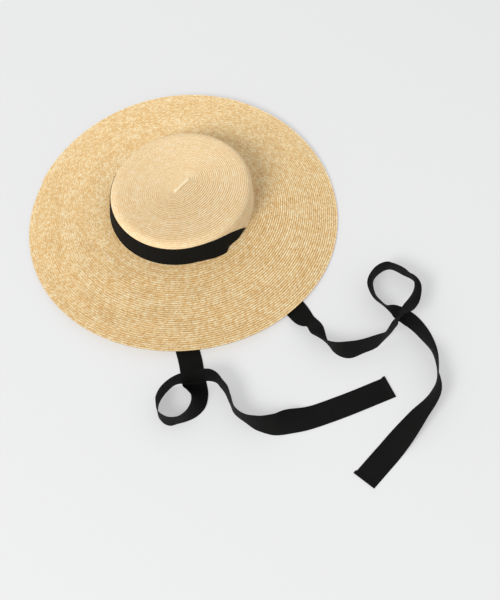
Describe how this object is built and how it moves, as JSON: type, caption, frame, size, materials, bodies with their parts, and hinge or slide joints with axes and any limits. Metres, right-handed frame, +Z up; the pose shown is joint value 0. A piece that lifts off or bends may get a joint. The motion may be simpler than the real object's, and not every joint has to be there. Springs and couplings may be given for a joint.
{
  "type": "straw sun hat",
  "caption": "Wide-brimmed hat of sewn straw braid with a shallow flat crown, a black ribbon round its front and two long loose ribbon ties.",
  "frame": {"origin": "on the surface the hat rests on, under the middle of the crown", "axes": "+Z up out of the crown's top, +Y towards the back of the hat, +X towards the wearer's left"},
  "size_m": [0.632, 0.4522, 0.08],
  "materials": {
    "straw": "matte sewn straw braid",
    "ribbon": "matte ribbed ribbon"
  },
  "bodies": {
    "root": {"crown": "straw", "brim": "straw", "hat_band": "ribbon", "tie_left": "ribbon", "tie_right": "ribbon"}
  },
  "joints": []
}
